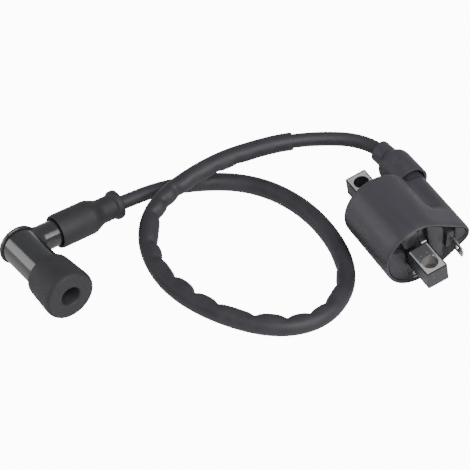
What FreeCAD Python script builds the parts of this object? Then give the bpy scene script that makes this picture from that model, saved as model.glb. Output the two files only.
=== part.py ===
"""Ignition coil with its high-tension lead and elbow spark-plug cap. Millimetres.

The coil lies on its side. X runs along the core, +X towards the open end with the terminal;
+Y points from the can to the high-tension tower; +Z is up. The origin is the middle of the
bottom of the coil itself, without its lead and cap.
"""
import FreeCAD, Part
import math
import os

V = FreeCAD.Vector

# Core: a bonded stack of stamped laminations, with a bolt hole in each end.
CORE_LENGTH = 72.0
CORE_WIDTH = 11.0
CORE_THICK = 9.5
BOLT_SPACING = 60.0
BOLT_HOLE_R = 3.75
CORE_CORNER_R = 0.6
CORE_TILT = 10.6            # degrees that the core is turned about X in the can

# Can and tower, one moulding.
CAN_R = 17.5
CAN_WALL = 1.8
FAR_X = -19.5
NEAR_X = 20.0
FAR_EDGE_R = 2.4
END_WALL = 2.4
TOWER_DY = 21.4
TOWER_DZ = 1.6
LOBE_R = 6.3
HULL_X = 3.0                # the tangent walls are full from here to the open end
WEB_HALF = 4.0              # half thickness of the web between can and tower
TOWER_TIP_X = -34.0
TOWER_BARB = 0.5
RIM_WALL = 1.5
CAVITY_X = 9.0              # the open end is hollow across can and tower from here
FIT = 0.10                  # clearance of pieces that slide or are potted together

# Winding forms and windings.
PRIMARY_BORE_GAP = 0.15
PRIMARY_FORM_R = 8.1
PRIMARY_WIRE_R = 9.4
PRIMARY_FLANGE_R = 10.0
PRIMARY_HALF = 14.5
FLANGE = 1.0
SECONDARY_FORM_IN = 10.2
SECONDARY_FORM_R = 11.0
SECONDARY_WIRE_R = 13.4
SECONDARY_FLANGE_R = 14.2
SECONDARY_HALF = 13.0
CHAMBERS = 6
POTTING_X = 17.2            # face of the potting, below the rim
WIRE_R = 0.35

# Primary terminal and earth strip.
BLADE_THICK = 0.8
BLADE_WIDTH = 5.0
BLADE_TIP_X = 29.2
BLADE_ROOT_X = 13.0
BLADE_DY = 18.4             # from the can's axis
BLADE_DZ = 0.2
BLADE_HOLE_R = 0.9
BASE_LENGTH = 6.6
BASE_HALF_Y = 2.6
BASE_HALF_Z = 4.6
STRIP_THICK = 0.4
STRIP_WIDTH = 2.6
STRIP_OUT = 1.6

# High-tension lead and its sleeve.
LEAD_R = 3.5
LEAD_BORE_R = 1.0
STRAND_R = 0.95
SLEEVE_R = 4.45
SLEEVE_WALL = 0.5
ARC_SHARE = 0.45            # of the shorter run, that an arc takes at each corner
STRAND_START = 8.0
STRAND_TO_END = 11.5
LEAD_START_X = -18.0
SPIKE_R = 0.85
SPIKE_REACH = 7.0
CONTACT_HEAD = 1.4
CONTACT_TAIL = 5.0
CONTACT_TAIL_R = 1.2
SLEEVE_FROM = 74.5          # from the lead's tower end, along the lead
SLEEVE_TO_END = 70.0        # from the sleeve's other end to the lead's cap end

# Tower boot.
BOOT_MOUTH_R = 8.7
BOOT_R = 8.2
BOOT_MOUTH_X = -20.2
BOOT_SHOULDER_X = -39.2
BOOT_SHOULDER_FILLET = 2.4
NECK_R = 5.4
NECK_BEND_R = 38.0
NECK_BEND = 15.0            # degrees
NECK_FILLET = 1.2
BOOT_MOUTH_GAP = 1.2        # between the boot's mouth and the tower

# Cap, in its own axes: x along the plug arm towards the plug, y along the lead, z up.
CAP_AT = V(-77.6, -161.2, 10.45)
PLUG_HEADING = 8.7          # degrees from +X
PLUG_RISE = 3.0
LEAD_FALL = 3.0
PLUG_ARM_R = 9.1
PLUG_ARM_END = 30.0
ARM_MOUTH_R = 6.6           # counterbore in the end of the plug arm
ARM_MOUTH = 3.0
CABLE_ARM_R = 6.4
CABLE_ARM_END = 35.0
COVER_R = 10.2
COVER_THICK = 2.6
COVER_REAR = -4.6
COVER_SPIGOT = 0.4
COVER_EDGE_R = 1.2
BARREL_R = 5.6              # chamber for the resistor and springs
BARREL_END = 25.5
PLUG_BOOT_REAR_R = 11.0
PLUG_BOOT_R = 12.7
PLUG_BOOT_FROM = 22.3
PLUG_BOOT_FACE = 41.8
PLUG_BORE_R = 4.6
PLUG_BOOT_EDGE_R = 2.0
CABLE_BOOT_FROM = 18.4
CABLE_BOOT_R = 8.4
CABLE_BOOT_TAPER = 37.4
CABLE_BOOT_NECK = 43.1
CABLE_NECK_R = 6.0
BEAD_R = 7.3
BEAD_FROM = 50.6
BEAD_TO = 54.2
MOUTH_FLARE = 0.8           # clearance at the boot's mouth and at its bead

# Inside the cap.
SCREW_HEAD_R = 4.4
SCREW_HEAD = 2.0
SCREW_HEAD_AT = 12.6
SCREW_NECK_R = 2.2
BUTTON_R = 1.2
LEAD_END_AT = 20.0
SCREW_POINT_AT = 30.0
BUTTON_AT = 3.2
SOCKET_R = 4.4
SOCKET_BORE_R = 3.2
SOCKET_LENGTH = 9.0
SOCKET_END = 29.2
SOCKET_FLOOR = 1.5
SOCKET_FOOT = 1.7           # the foot that stands on the resistor
SOCKET_FOOT_R = 1.6
CLIP_AT = 5.7
PLATE_AT = 3.4
PLATE_THICK = 1.0
TONGUE_HALF = 1.2           # the plate's tongue, which the cable screw's button meets
RESISTOR_R = 2.6
RESISTOR_LENGTH = 9.0
RESISTOR_CAP = 1.2
SPRING_WIRE_R = 0.3
SPRING_R = 2.0
SPRING_TURNS = 4
SPRING_STEPS = 8            # arcs to a turn of the spring
CLIP_WIRE_R = 0.35

# Places worked out from the sizes above.
CAN_Y = CAN_R - (CAN_R + TOWER_DY + LOBE_R) / 2
CAN_Z = CAN_R
TOWER_Y = CAN_Y + TOWER_DY
TOWER_Z = CAN_Z + TOWER_DZ
TOWER_BORE_R = LEAD_R + FIT
CONTACT_TAIL_X = LEAD_START_X + CONTACT_HEAD + CONTACT_TAIL

# The lead's route from the tower to the cap; its last two points lie on the cap's lead axis.
ROUTE = [
    V(LEAD_START_X, TOWER_Y, TOWER_Z),
    V(-55.0, TOWER_Y, TOWER_Z),
    V(-77.0, -14.0, 18.6),
    V(-79.0, -42.0, 18.4),
    V(-78.5, -64.0, 18.2),
    V(-77.0, -92.0, 9.5),
    V(-55.5, -111.0, 4.5),
    V(-22.0, -109.5, 4.5),
    V(18.5, -86.0, 4.5),
    V(25.0, -54.5, 4.5),
    V(4.0, -28.0, 4.5),
    V(-34.0, -25.5, 4.5),
    V(-64.5, -37.0, 4.5),
    V(-87.2, -70.0, 4.6),
]
LEAVE_CAP_AT = 56.0         # the lead stays on the cap's axis up to here


def cylinder(radius, x0, x1, y=0.0, z=0.0):
    """A round bar along X."""
    return Part.makeCylinder(radius, x1 - x0, V(x0, y, z), V(1, 0, 0))


def ring(outer, inner, x0, x1, y=0.0, z=0.0):
    """A tube along X."""
    return cylinder(outer, x0, x1, y, z).cut(cylinder(inner, x0 - 1, x1 + 1, y, z))


def block(x0, x1, y0, y1, z0, z1):
    return Part.makeBox(x1 - x0, y1 - y0, z1 - z0, V(x0, y0, z0))


def on_can_axis(shape):
    """Turn a shape made about the X axis by the core's tilt and lift it to the can's axis."""
    shape.Placement = FreeCAD.Placement(
        V(0, CAN_Y, CAN_Z), FreeCAD.Rotation(V(1, 0, 0), CORE_TILT)
    ).multiply(shape.Placement)
    return shape


def turned(profile):
    """Turn a closed outline of (along, radius) points about the X axis."""
    points = [V(x, r, 0) for x, r in profile]
    face = Part.Face(Part.makePolygon(points + points[:1]))
    return face.revolve(V(0, 0, 0), V(1, 0, 0), 360)


def edges_at(shape, test):
    """Edges whose ends and middle all pass a test on their points."""
    found = []
    for edge in shape.Edges:
        middle = edge.valueAt((edge.FirstParameter + edge.LastParameter) / 2)
        points = [vertex.Point for vertex in edge.Vertexes] + [middle]
        if all(test(p) for p in points):
            found.append(edge)
    return found


# ---------------------------------------------------------------- the lead's route

def cap_axes():
    """Unit vectors of the plug arm, the lead arm and the up side of the cap."""
    heading = math.radians(PLUG_HEADING)
    rise = math.radians(PLUG_RISE)
    fall = math.radians(LEAD_FALL)
    plug = V(math.cos(heading) * math.cos(rise), math.sin(heading) * math.cos(rise),
             math.sin(rise))
    level = V(-math.sin(heading), math.cos(heading), 0)
    lead = level * math.cos(fall) - plug.cross(level) * math.sin(fall)
    return plug, lead, plug.cross(lead)


def route_points():
    lead = cap_axes()[1]
    return ROUTE + [CAP_AT + lead * LEAVE_CAP_AT, CAP_AT + lead * LEAD_END_AT]


def route_edges(points):
    """Straight runs joined by arcs, each arc as large as the shorter of its runs allows."""
    edges = []
    start = points[0]
    for before, corner, after in zip(points, points[1:], points[2:]):
        run_in = corner - before
        run_out = after - corner
        half_turn = run_in.getAngle(run_out) / 2
        trim = ARC_SHARE * min(run_in.Length, run_out.Length)
        radius = trim / math.tan(half_turn)
        dir_in = V(run_in).normalize()
        dir_out = V(run_out).normalize()
        first = corner - dir_in * trim
        last = corner + dir_out * trim
        to_centre = (dir_out - dir_in).normalize()
        middle = corner + to_centre * (radius / math.cos(half_turn) - radius)
        edges.append(Part.LineSegment(start, first).toShape())
        edges.append(Part.Arc(first, middle, last).toShape())
        start = last
    edges.append(Part.LineSegment(start, points[-1]).toShape())
    return edges


def portion(edges, start, end):
    """The part of a chain of edges from one length along it to another."""
    kept = []
    done = 0.0
    for edge in edges:
        low = max(start - done, 0.0)
        high = min(end - done, edge.Length)
        if high - low > 0.001:
            first = edge.getParameterByLength(low)
            last = edge.getParameterByLength(high)
            kept.append(edge.Curve.toShape(first, last))
        done += edge.Length
    return kept


def tube(edges, outer, inner=0.0):
    """Sweep a round section along a chain of edges."""
    start = edges[0].valueAt(edges[0].FirstParameter)
    direction = edges[0].tangentAt(edges[0].FirstParameter)
    path = Part.Wire(edges)

    def swept(radius):
        section = Part.Wire(Part.makeCircle(radius, start, direction))
        return path.makePipeShell([section], True, True)

    solid = swept(outer)
    if inner:
        solid = solid.cut(swept(inner))
    return solid


def lead_parts():
    edges = route_edges(route_points())
    length = sum(edge.Length for edge in edges)
    lead = tube(edges, LEAD_R, LEAD_BORE_R)
    strand = tube(portion(edges, STRAND_START, length - STRAND_TO_END), STRAND_R)
    sleeve_edges = portion(edges, SLEEVE_FROM, length - SLEEVE_TO_END)
    sleeve = tube(sleeve_edges, SLEEVE_R, SLEEVE_R - SLEEVE_WALL)
    section = math.pi * (LEAD_R ** 2 - LEAD_BORE_R ** 2)
    print("lead arc radii", [round(edge.Curve.Radius, 1) for edge in edges[1::2]])
    print("lead length", round(length, 1), "volume", round(lead.Volume, 1),
          "section x length", round(section * length, 1))
    return {"ht_lead": lead, "lead_strand": strand, "lead_sleeve": sleeve}


# ---------------------------------------------------------------- can, core and windings

def tangent_hull(can_r, tower_r, x0, x1):
    """The prism between the can and the tower, bounded by their outer tangents."""
    distance = math.hypot(TOWER_DY, TOWER_DZ)
    lean = math.atan2(TOWER_DZ, TOWER_DY)
    corners = []
    for side in (1, -1):
        angle = lean + side * math.acos((can_r - tower_r) / distance)
        normal = V(0, math.cos(angle), math.sin(angle))
        pair = [V(x0, CAN_Y, CAN_Z) + normal * can_r, V(x0, TOWER_Y, TOWER_Z) + normal * tower_r]
        corners += pair if side == 1 else pair[::-1]
    face = Part.Face(Part.makePolygon(corners + corners[:1]))
    return face.extrude(V(x1 - x0, 0, 0))


def web():
    """The wall between can and tower where the valley is, widening to the full hull."""
    distance = math.hypot(TOWER_DY, TOWER_DZ)
    lean = math.atan2(TOWER_DZ, TOWER_DY)
    wide = []
    narrow = []
    for side in (1, -1):
        angle = lean + side * math.acos((CAN_R - LOBE_R) / distance)
        normal = V(0, math.cos(angle), math.sin(angle))
        across = V(0, -math.sin(lean), math.cos(lean)) * (WEB_HALF * side)
        ends = [(V(0, CAN_Y, CAN_Z), CAN_R), (V(0, TOWER_Y, TOWER_Z), LOBE_R)]
        order = ends if side == 1 else ends[::-1]
        for centre, radius in order:
            wide.append(centre + normal * radius)
            narrow.append(centre + across)
    rings = []
    for x, corners in ((HULL_X, wide), (FAR_X + FAR_EDGE_R, narrow)):
        at = [V(x, p.y, p.z) for p in corners]
        rings.append(Part.makePolygon(at + at[:1]))
    fairing = Part.makeLoft(rings, True, True)
    return fairing.fuse(tangent_hull(CAN_R, LOBE_R, HULL_X, NEAR_X))


def housing():
    can = cylinder(CAN_R, FAR_X, NEAR_X, CAN_Y, CAN_Z)
    far_edge = edges_at(can, lambda p: abs(p.x - FAR_X) < 0.01)
    can = can.makeFillet(FAR_EDGE_R, far_edge)
    lobe = cylinder(LOBE_R, TOWER_TIP_X, NEAR_X, TOWER_Y, TOWER_Z)
    barb = turned([
        (TOWER_TIP_X + 1.0, 0), (TOWER_TIP_X + 1.0, LOBE_R), (TOWER_TIP_X + 2.5, LOBE_R + TOWER_BARB),
        (TOWER_TIP_X + 3.5, LOBE_R + TOWER_BARB), (TOWER_TIP_X + 5.0, LOBE_R), (TOWER_TIP_X + 5.0, 0),
    ])
    barb.translate(V(0, TOWER_Y, TOWER_Z))
    body = can.fuse([lobe, barb, web()]).removeSplitter()
    cavity = cylinder(CAN_R - CAN_WALL, FAR_X + END_WALL, NEAR_X + 1, CAN_Y, CAN_Z)
    open_end = cylinder(CAN_R - RIM_WALL, CAVITY_X, NEAR_X + 1, CAN_Y, CAN_Z).fuse([
        cylinder(LOBE_R - RIM_WALL, CAVITY_X, NEAR_X + 1, TOWER_Y, TOWER_Z),
        tangent_hull(CAN_R - RIM_WALL, LOBE_R - RIM_WALL, CAVITY_X, NEAR_X + 1),
    ])
    lead_bore = cylinder(TOWER_BORE_R, TOWER_TIP_X - 1, LEAD_START_X - FIT, TOWER_Y, TOWER_Z)
    wire_duct = cylinder(WIRE_R * 2 + FIT, CONTACT_TAIL_X, CAVITY_X + 1, TOWER_Y, TOWER_Z)
    core_slot = on_can_axis(core_block(FIT, FAR_X - 1, 0))
    return body.cut([cavity, open_end, lead_bore, contact(FIT), wire_duct, core_slot])


def core_block(gap, x0, x1):
    half_y = CORE_WIDTH / 2 + gap
    half_z = CORE_THICK / 2 + gap
    return block(x0, x1, -half_y, half_y, -half_z, half_z)


def laminations():
    """The varnished stack as one bar; the outer corners of its ears are eased."""
    half_x = CORE_LENGTH / 2
    bar = core_block(0, -half_x, half_x)
    upright = edges_at(bar, lambda p: abs(abs(p.x) - half_x) < 0.01
                       and abs(abs(p.y) - CORE_WIDTH / 2) < 0.01)
    bar = bar.makeFillet(CORE_CORNER_R, upright)
    for side in (-1, 1):
        centre = V(side * BOLT_SPACING / 2, 0, -CORE_THICK)
        bar = bar.cut(Part.makeCylinder(BOLT_HOLE_R, CORE_THICK * 2, centre))
    return on_can_axis(bar)


def primary_bobbin():
    form = cylinder(PRIMARY_FLANGE_R, -PRIMARY_HALF, PRIMARY_HALF)
    winding_room = ring(PRIMARY_FLANGE_R + 1, PRIMARY_FORM_R, -PRIMARY_HALF + FLANGE,
                        PRIMARY_HALF - FLANGE)
    core_room = core_block(PRIMARY_BORE_GAP, -PRIMARY_HALF - 1, PRIMARY_HALF + 1)
    return on_can_axis(form.cut([winding_room, core_room]))


def primary_winding():
    half = PRIMARY_HALF - FLANGE - FIT
    return on_can_axis(ring(PRIMARY_WIRE_R, PRIMARY_FORM_R + FIT, -half, half))


def chamber_walls():
    """X of the start of each flange of the secondary bobbin."""
    pitch = (2 * SECONDARY_HALF - FLANGE) / CHAMBERS
    return [-SECONDARY_HALF + index * pitch for index in range(CHAMBERS + 1)]


def secondary_bobbin():
    body = ring(SECONDARY_FORM_R, SECONDARY_FORM_IN, -SECONDARY_HALF, SECONDARY_HALF)
    for x in chamber_walls():
        body = body.fuse(ring(SECONDARY_FLANGE_R, SECONDARY_FORM_IN, x, x + FLANGE))
    return on_can_axis(body.removeSplitter())


def secondary_winding():
    walls = chamber_walls()
    coils = []
    for left, right in zip(walls, walls[1:]):
        x0 = left + FLANGE + FIT
        coils.append(on_can_axis(ring(SECONDARY_WIRE_R, SECONDARY_FORM_R + FIT, x0, right - FIT)))
    return Part.makeCompound(coils)


# ---------------------------------------------------------------- contacts, wires, terminal

def contact(gap=0.0):
    """Brass contact at the bottom of the tower: a spike for the lead, a head and a tail."""
    x0 = LEAD_START_X
    shoulder = x0 + CONTACT_HEAD + gap
    head = turned([
        (x0 - gap, 0), (x0 - gap, LEAD_R + gap), (shoulder, LEAD_R + gap),
        (shoulder, CONTACT_TAIL_R + gap), (CONTACT_TAIL_X + gap, CONTACT_TAIL_R + gap),
        (CONTACT_TAIL_X + gap, 0),
    ])
    if not gap:
        spike = turned([
            (x0 - SPIKE_REACH, 0), (x0 - SPIKE_REACH + 2.0, SPIKE_R), (x0, SPIKE_R), (x0, 0),
        ])
        head = head.fuse(spike).removeSplitter()
    head.translate(V(0, TOWER_Y, TOWER_Z))
    return head


def bent_wire(points, radius):
    """A round wire with straight runs and mitred corners."""
    wire = None
    for start, end in zip(points, points[1:]):
        run = end - start
        bar = Part.makeCylinder(radius, run.Length, start, run)
        ball = Part.makeSphere(radius, end)
        bar = bar if end == points[-1] else bar.fuse(ball)
        wire = bar if wire is None else wire.fuse(bar)
    return wire


def tilted(x, y, z):
    """A point given in the core's own axes."""
    angle = math.radians(CORE_TILT)
    return V(x, CAN_Y + y * math.cos(angle) - z * math.sin(angle),
             CAN_Z + y * math.sin(angle) + z * math.cos(angle))


def wire_routes():
    """High-tension wire, and the two ends of the primary winding."""
    start = V(CONTACT_TAIL_X + FIT, TOWER_Y, TOWER_Z)
    cross_x = (chamber_walls()[-2] + chamber_walls()[-1] + FLANGE) / 2
    high_tension = [
        start, V(cross_x, TOWER_Y, TOWER_Z), V(cross_x, CAN_Y + SECONDARY_WIRE_R + 0.1, TOWER_Z),
    ]
    leave_x = PRIMARY_HALF + 0.3
    out_x = PRIMARY_HALF + 1.5
    root = V(out_x, CAN_Y + BLADE_DY - BASE_HALF_Y - 0.3, CAN_Z - 5.5)
    to_blade = [tilted(leave_x, 8.9, -3.0), tilted(out_x, 8.9, -3.0), root]
    strip_end = tilted(out_x, 2.2, CORE_THICK / 2 + 2.2)
    to_strip = [tilted(leave_x, 6.5, 6.0), tilted(out_x, 6.5, 6.0), strip_end]
    return {"ht_wire": high_tension, "primary_start_wire": to_blade, "primary_earth_wire": to_strip}


def terminal_base(gap=0.0):
    y = CAN_Y + BLADE_DY
    z = CAN_Z + BLADE_DZ
    x0 = BLADE_ROOT_X - 1.0
    half_y = BASE_HALF_Y + gap
    half_z = BASE_HALF_Z + gap
    return block(x0 - gap, x0 + BASE_LENGTH + gap, y - half_y, y + half_y, z - half_z, z + half_z)


def blade(gap=0.0):
    """Spade terminal, standing on edge, with a detent hole and a pointed tip."""
    y = CAN_Y + BLADE_DY
    half = BLADE_WIDTH / 2 + gap
    point = half * 0.45
    outline = [
        (BLADE_ROOT_X - gap, -half), (BLADE_TIP_X - 1.6, -half), (BLADE_TIP_X, -point),
        (BLADE_TIP_X, point), (BLADE_TIP_X - 1.6, half), (BLADE_ROOT_X - gap, half),
    ]
    corners = [V(x, y - BLADE_THICK / 2 - gap, CAN_Z + BLADE_DZ + z) for x, z in outline]
    solid = Part.Face(Part.makePolygon(corners + corners[:1])).extrude(
        V(0, BLADE_THICK + 2 * gap, 0))
    if not gap:
        hole = Part.makeCylinder(BLADE_HOLE_R, 4, V(BLADE_TIP_X - 5.0, y - 2, CAN_Z + BLADE_DZ),
                                 V(0, 1, 0))
        solid = solid.cut(hole)
    return solid


def earth_strip(gap=0.0):
    """Tinned strip that earths the winding to the core, out of the potting beside the ear."""
    z0 = CORE_THICK / 2 + FIT
    y1 = CORE_WIDTH / 2 - 0.3
    solid = block(PRIMARY_HALF + 0.8 - gap, POTTING_X + STRIP_OUT, y1 - STRIP_WIDTH - gap,
                  y1 + gap, z0 - gap, z0 + STRIP_THICK + gap)
    return on_can_axis(solid)


def potting():
    """Resin that fills what the other pieces leave of the housing, up to a level face."""
    can = cylinder(CAN_R - CAN_WALL - FIT, FAR_X + END_WALL + FIT, POTTING_X, CAN_Y, CAN_Z)
    near = cylinder(LOBE_R - RIM_WALL - FIT, CAVITY_X + FIT, POTTING_X, TOWER_Y, TOWER_Z).fuse(
        tangent_hull(CAN_R - RIM_WALL - FIT, LOBE_R - RIM_WALL - FIT, CAVITY_X + FIT, POTTING_X))
    resin = can.fuse(near)
    core = core_block(FIT, FAR_X, POTTING_X + 1)
    primary = cylinder(PRIMARY_FLANGE_R + FIT, -PRIMARY_HALF - FIT, PRIMARY_HALF + FIT)
    secondary = cylinder(SECONDARY_FLANGE_R + FIT, -SECONDARY_HALF - FIT, SECONDARY_HALF + FIT)
    holes = [on_can_axis(shape) for shape in (core, primary, secondary)]
    holes += [terminal_base(FIT), earth_strip(FIT), contact(FIT)]
    holes += [bent_wire(points, WIRE_R + FIT) for points in wire_routes().values()]
    return resin.cut(holes)


# ---------------------------------------------------------------- tower boot

def tower_boot():
    """Rubber boot over the tower, with a neck that follows the lead's first bend."""
    body = turned([
        (BOOT_MOUTH_X, 0), (BOOT_MOUTH_X, BOOT_MOUTH_R), (BOOT_SHOULDER_X, BOOT_R),
        (BOOT_SHOULDER_X, 0),
    ])
    shoulder = edges_at(body, lambda p: abs(p.x - BOOT_SHOULDER_X) < 0.01
                        and math.hypot(p.y, p.z) > BOOT_R - 0.1)
    body = body.makeFillet(BOOT_SHOULDER_FILLET, shoulder)
    body.translate(V(0, TOWER_Y, TOWER_Z))
    start = V(BOOT_SHOULDER_X + 3.5, TOWER_Y, TOWER_Z)
    angles = [math.radians(NECK_BEND) * share for share in (0.5, 1.0)]
    middle, end = [start + V(-math.sin(a), math.cos(a) - 1, 0) * NECK_BEND_R for a in angles]
    arc = [Part.Arc(start, middle, end).toShape()]
    outer = tube(arc, NECK_R)
    outer = outer.makeFillet(NECK_FILLET, edges_at(outer, lambda p: (p - end).Length < NECK_R + 0.1))
    bore = LOBE_R + FIT
    barb = bore + TOWER_BARB
    room = turned([
        (BOOT_MOUTH_X + 1, 0), (BOOT_MOUTH_X + 1, LOBE_R + BOOT_MOUTH_GAP),
        (BOOT_MOUTH_X - 1.2, LOBE_R + BOOT_MOUTH_GAP), (BOOT_MOUTH_X - 2.5, bore),
        (TOWER_TIP_X + 6.0, bore), (TOWER_TIP_X + 5.0, barb), (TOWER_TIP_X + 1.0, barb),
        (TOWER_TIP_X - FIT, bore), (TOWER_TIP_X - FIT, 0),
    ])
    room.translate(V(0, TOWER_Y, TOWER_Z))
    lead_room = tube(route_edges(route_points())[:2], LEAD_R + FIT)
    return body.fuse(outer).cut([room, lead_room])


# ---------------------------------------------------------------- cap

def in_place(shape):
    """Move a shape from the cap's own axes to where the cap lies."""
    plug, lead, up = cap_axes()
    matrix = FreeCAD.Matrix(
        plug.x, lead.x, up.x, CAP_AT.x,
        plug.y, lead.y, up.y, CAP_AT.y,
        plug.z, lead.z, up.z, CAP_AT.z,
        0, 0, 0, 1,
    )
    shape.Placement = FreeCAD.Placement(matrix).multiply(shape.Placement)
    return shape


def along_lead(profile):
    """Turn an outline of (along, radius) points about the cap's lead axis."""
    points = [V(r, y, 0) for y, r in profile]
    face = Part.Face(Part.makePolygon(points + points[:1]))
    return face.revolve(V(0, 0, 0), V(0, 1, 0), 360)


def lead_room():
    """The lead arm's bore: a room for the cable screw's head and neck, then the lead's own."""
    head_from = SCREW_HEAD_AT - SCREW_HEAD - FIT
    head_end = LEAD_END_AT - 1.0
    head_r = SCREW_HEAD_R + FIT
    button_r = BUTTON_R + 2 * FIT
    return along_lead([
        (0, 0), (0, button_r), (head_from, button_r), (head_from, head_r), (head_end, head_r),
        (head_end, LEAD_R + FIT), (CABLE_ARM_END + 1, LEAD_R + FIT), (CABLE_ARM_END + 1, 0),
    ])


def cap_body():
    """The elbow's wide arm, with the barrel for the resistor and the socket."""
    arm = cylinder(PLUG_ARM_R, COVER_REAR + COVER_THICK, PLUG_ARM_END)
    barrel = cylinder(BARREL_R, COVER_REAR, BARREL_END)
    socket_room = cylinder(SOCKET_R + FIT, BARREL_END - 1, PLUG_ARM_END + 1)
    mouth = cylinder(ARM_MOUTH_R, PLUG_ARM_END - ARM_MOUTH, PLUG_ARM_END + 1)
    return in_place(arm.cut([barrel, socket_room, mouth, lead_room()]))


def cap_lead_arm():
    """The elbow's narrow arm, moulded in one with the wide arm, up to the wide arm's skin."""
    arm = along_lead([(0, 0), (0, CABLE_ARM_R), (CABLE_ARM_END, CABLE_ARM_R), (CABLE_ARM_END, 0)])
    wide_arm = cylinder(PLUG_ARM_R, COVER_REAR - CABLE_ARM_R, PLUG_ARM_END)
    cover_room = cylinder(COVER_R + FIT, COVER_REAR - CABLE_ARM_R, COVER_REAR + COVER_THICK)
    return in_place(arm.cut([wide_arm, cover_room, lead_room()]))


def cap_cover():
    """Round cover that closes the rear of the barrel, with a spigot."""
    cover = cylinder(COVER_R, COVER_REAR, COVER_REAR + COVER_THICK)
    rims = [e for e in cover.Edges if e.Length > COVER_R * 6]
    cover = cover.makeFillet(COVER_EDGE_R, rims)
    spigot = cylinder(BARREL_R - FIT, COVER_REAR + 1, COVER_REAR + COVER_THICK + COVER_SPIGOT)
    return in_place(cover.fuse(spigot))


def plug_boot():
    """Rubber boot over the plug end, with the hole that seals on the plug's insulator."""
    body = turned([
        (PLUG_BOOT_FROM, 0), (PLUG_BOOT_FROM, PLUG_BOOT_REAR_R), (PLUG_BOOT_FACE, PLUG_BOOT_R),
        (PLUG_BOOT_FACE, 0),
    ])
    rims = [e for e in body.Edges if e.Length > PLUG_BOOT_REAR_R * 6]
    body = body.makeFillet(PLUG_BOOT_EDGE_R, rims)
    arm_room = cylinder(PLUG_ARM_R + FIT, PLUG_BOOT_FROM - 1, PLUG_ARM_END + FIT)
    hole = cylinder(PLUG_BORE_R, PLUG_ARM_END - 1, PLUG_BOOT_FACE + 1)
    return in_place(body.cut([arm_room, hole]))


def cable_boot():
    """Rubber boot over the lead arm: a wide sleeve, a taper, a neck and an end bead."""
    edge = 1.0
    body = along_lead([
        (CABLE_BOOT_FROM, 0), (CABLE_BOOT_FROM, CABLE_BOOT_R - edge * 0.5),
        (CABLE_BOOT_FROM + edge, CABLE_BOOT_R), (CABLE_BOOT_TAPER, CABLE_BOOT_R),
        (CABLE_BOOT_NECK, CABLE_NECK_R), (BEAD_FROM, CABLE_NECK_R), (BEAD_FROM + edge, BEAD_R),
        (BEAD_TO - edge, BEAD_R), (BEAD_TO, CABLE_NECK_R), (BEAD_TO, 0),
    ])
    arm_room = along_lead([
        (CABLE_BOOT_FROM - 1, 0), (CABLE_BOOT_FROM - 1, CABLE_ARM_R + MOUTH_FLARE),
        (CABLE_BOOT_FROM + 1.5, CABLE_ARM_R + MOUTH_FLARE), (CABLE_BOOT_FROM + 2.5, CABLE_ARM_R + FIT),
        (CABLE_ARM_END + FIT, CABLE_ARM_R + FIT), (CABLE_ARM_END + FIT, 0),
    ])
    lead_room = along_lead([
        (CABLE_ARM_END, 0), (CABLE_ARM_END, LEAD_R + FIT), (CABLE_BOOT_TAPER, LEAD_R + FIT),
        (BEAD_TO + 1, LEAD_R + MOUTH_FLARE), (BEAD_TO + 1, 0),
    ])
    return in_place(body.cut([arm_room, lead_room]))


def cable_screw():
    """Brass screw that the lead is turned onto, with a button that meets the contact spring."""
    seat = SCREW_HEAD_AT
    neck_end = LEAD_END_AT - 0.3
    return in_place(along_lead([
        (BUTTON_AT, 0), (BUTTON_AT, BUTTON_R), (seat - SCREW_HEAD, BUTTON_R),
        (seat - SCREW_HEAD, SCREW_HEAD_R), (seat, SCREW_HEAD_R), (seat, SCREW_NECK_R),
        (neck_end, SCREW_NECK_R), (neck_end, SPIKE_R), (SCREW_POINT_AT - 2.0, SPIKE_R),
        (SCREW_POINT_AT, 0),
    ]))


def resistor_places():
    """X of the contact plate, the resistor and the socket along the barrel."""
    socket_x = SOCKET_END - SOCKET_LENGTH
    resistor_x = socket_x - SOCKET_FOOT - RESISTOR_LENGTH - FIT
    return PLATE_AT, resistor_x, socket_x


def resistor():
    x0 = resistor_places()[1]
    body = cylinder(RESISTOR_R, x0 + RESISTOR_CAP, x0 + RESISTOR_LENGTH - RESISTOR_CAP)
    return in_place(body)


def resistor_caps():
    x0 = resistor_places()[1]
    outer = RESISTOR_R + 0.3
    caps = []
    for start in (x0, x0 + RESISTOR_LENGTH - RESISTOR_CAP):
        caps.append(in_place(cylinder(outer, start, start + RESISTOR_CAP)))
    return Part.makeCompound(caps)


def contact_plate():
    """Brass disc against the cable screw's button, at the rear of the barrel."""
    plate = resistor_places()[0]
    disc = cylinder(BARREL_R - 0.3, plate, plate + PLATE_THICK)
    tongue = block(-TONGUE_HALF, plate + PLATE_THICK / 2, BUTTON_AT - 1.5, BUTTON_AT - FIT,
                   -TONGUE_HALF, TONGUE_HALF)
    return in_place(disc.fuse(tongue))


def barrel_spring():
    """Open wire spring between the contact plate and the resistor."""
    plate, start, _ = resistor_places()
    seat = plate + PLATE_THICK + SPRING_WIRE_R + FIT / 2
    length = start - seat - SPRING_WIRE_R - FIT / 2
    steps = SPRING_TURNS * SPRING_STEPS
    points = []
    for index in range(steps + 1):
        angle = 2 * math.pi * index / SPRING_STEPS
        points.append(V(seat + length * index / steps, SPRING_R * math.cos(angle),
                        SPRING_R * math.sin(angle)))
    return in_place(tube(route_edges(points), SPRING_WIRE_R))


def plug_socket():
    """Brass cup that takes the plug's terminal nut."""
    x0 = resistor_places()[2]
    cup = cylinder(SOCKET_R, x0, SOCKET_END).cut(
        cylinder(SOCKET_BORE_R, x0 + SOCKET_FLOOR, SOCKET_END + 1))
    foot = cylinder(SOCKET_FOOT_R, x0 - SOCKET_FOOT, x0 + FIT)
    clip = x0 + CLIP_AT
    groove = ring(SOCKET_R + 1, SOCKET_R - 2 * CLIP_WIRE_R - FIT / 2, clip - CLIP_WIRE_R * 2,
                  clip + CLIP_WIRE_R * 2)
    return in_place(cup.fuse(foot).cut(groove))


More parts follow.
